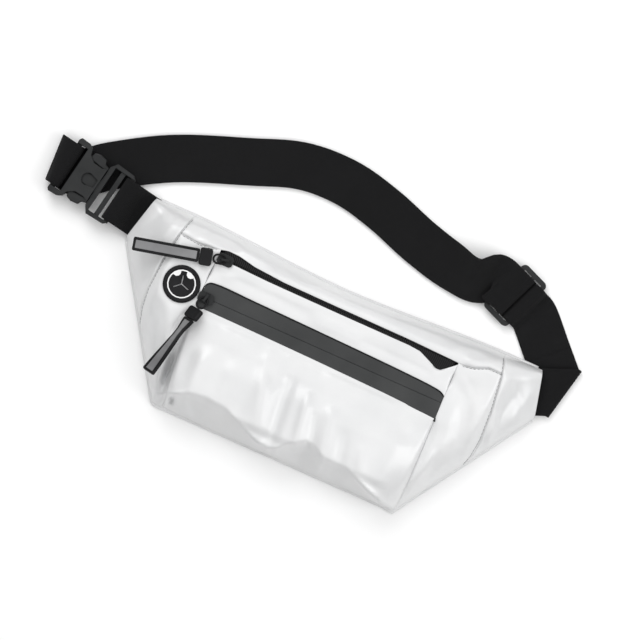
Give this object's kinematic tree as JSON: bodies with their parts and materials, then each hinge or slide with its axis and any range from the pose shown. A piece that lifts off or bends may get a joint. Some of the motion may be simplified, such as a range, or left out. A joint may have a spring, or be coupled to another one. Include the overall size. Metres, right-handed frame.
{
  "type": "waist bag",
  "caption": "Trapezoid zipped waist bag with a front zip pocket, earphone port, and a webbing belt with side-release buckle and strap adjuster, lying on its back.",
  "frame": {"origin": "middle of the face of the back panel that the bag lies on", "axes": "+X along the bag from the buckle's side to the belt's fold, +Y towards the bag's top edge, +Z out of the bag's front"},
  "size_m": [0.4568, 0.2434, 0.0586],
  "materials": {
    "bag_fabric": "smooth coated, soft sheen",
    "lining": "plain weave lining",
    "foam": "closed-cell foam",
    "zip_tape": "coated tape, satin",
    "zip_coil": "moulded nylon",
    "pull_rubber": "matt",
    "reflective_stripe": "reflective film",
    "port_rubber": "satin",
    "port_print": "print",
    "webbing": "woven webbing, matt",
    "buckle_plastic": "moulded, fine matt"
  },
  "bodies": {
    "bag": {"back_panel": "lining", "back_pad": "foam", "top_strip": "bag_fabric", "side_panel_left": "bag_fabric", "side_panel_right": "bag_fabric", "wing_left": "bag_fabric", "wing_right": "bag_fabric", "pocket_front_panel": "bag_fabric", "pocket_top_gusset": "bag_fabric", "body_front_panel": "lining", "pocket_gusset_left": "lining", "pocket_gusset_right": "lining", "main_zip_tape_upper": "zip_tape", "main_zip_coil_upper": "zip_coil", "main_zip_tape_lower": "zip_tape", "main_zip_coil_lower": "zip_coil", "main_zip_end_stop": "zip_coil", "pocket_zip_tape_upper": "zip_tape", "pocket_zip_coil_upper": "zip_coil", "pocket_zip_tape_lower": "zip_tape", "pocket_zip_coil_lower": "zip_coil", "pocket_zip_end_stop": "zip_coil", "port_ring": "port_rubber", "port_face": "port_rubber", "port_washer": "buckle_plastic", "port_symbol": "port_print", "left_tab": "webbing", "right_tab": "webbing", "belt_outer_run": "webbing", "belt_return_run": "webbing", "triglide": "buckle_plastic", "buckle_male": "buckle_plastic"},
    "main_slider": {"main_slider": "buckle_plastic"},
    "pocket_slider": {"pocket_slider": "buckle_plastic"},
    "main_pull": {"main_pull_cord": "pull_rubber", "main_pull_cap": "pull_rubber", "main_pull_tab": "pull_rubber", "main_pull_stripe": "reflective_stripe"},
    "pocket_pull": {"pocket_pull_cord": "pull_rubber", "pocket_pull_cap": "pull_rubber", "pocket_pull_tab": "pull_rubber", "pocket_pull_stripe": "reflective_stripe"},
    "buckle_socket": {"buckle_female": "buckle_plastic", "belt_buckle_loop": "webbing"},
    "prong_upper": {"prong_upper": "buckle_plastic"},
    "prong_lower": {"prong_lower": "buckle_plastic"}
  },
  "joints": [
    {"name": "main_slider_slide", "type": "slide", "parent": "bag", "child": "main_slider", "axis": [1, 0, 0], "range_m": [0, 0.19]},
    {"name": "main_pull_swing", "type": "hinge", "parent": "main_slider", "child": "main_pull", "pos_m": [-0.097, 0.053, 0.0432], "axis": [-0.2334, 0.9724, 0], "range_deg": [0, 150]},
    {"name": "pocket_slider_slide", "type": "slide", "parent": "bag", "child": "pocket_slider", "axis": [1, 0, 0], "range_m": [0, 0.19]},
    {"name": "pocket_pull_swing", "type": "hinge", "parent": "pocket_slider", "child": "pocket_pull", "pos_m": [-0.099, 0.0195, 0.0432], "axis": [-0.9703, 0.2419, 0], "range_deg": [0, 150]},
    {"name": "buckle_release", "type": "slide", "parent": "bag", "child": "buckle_socket", "axis": [-0.9848, 0.1736, 0], "range_m": [0, 0.03]},
    {"name": "prong_upper_squeeze", "type": "hinge", "parent": "bag", "child": "prong_upper", "pos_m": [-0.21232, 0.0805, 0.0099], "axis": [0, 0, 1], "range_deg": [0, 7], "stiffness_Nm_per_rad": 0.3},
    {"name": "prong_lower_squeeze", "type": "hinge", "parent": "bag", "child": "prong_lower", "pos_m": [-0.21746, 0.05135, 0.0099], "axis": [0, 0, -1], "range_deg": [0, 7], "stiffness_Nm_per_rad": 0.3}
  ]
}
